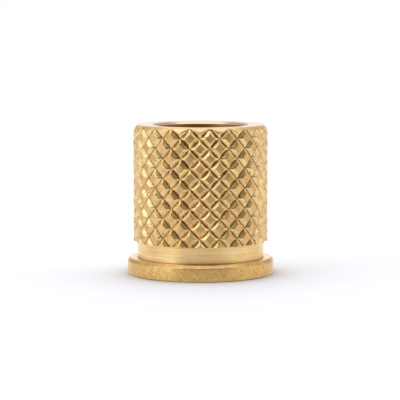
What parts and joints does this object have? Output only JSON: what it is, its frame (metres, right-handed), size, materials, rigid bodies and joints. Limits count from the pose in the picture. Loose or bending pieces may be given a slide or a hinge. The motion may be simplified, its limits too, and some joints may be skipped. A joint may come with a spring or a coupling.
{
  "type": "threaded insert",
  "caption": "Flanged brass threaded insert: diamond-knurled barrel over a plain neck and flange, with a screw thread right through and a plain mouth at the open end.",
  "frame": {"origin": "centre of the flange's underside", "axes": "+Z along the axis, from the flange to the open end; X and Y are equal, and a groove crossing of the knurl faces -Y"},
  "size_m": [0.013, 0.013, 0.0133],
  "materials": {
    "brass": "turned and rolled free-cutting brass, satin, lightly tarnished"
  },
  "bodies": {
    "root": {"insert_body": "brass"}
  },
  "joints": []
}
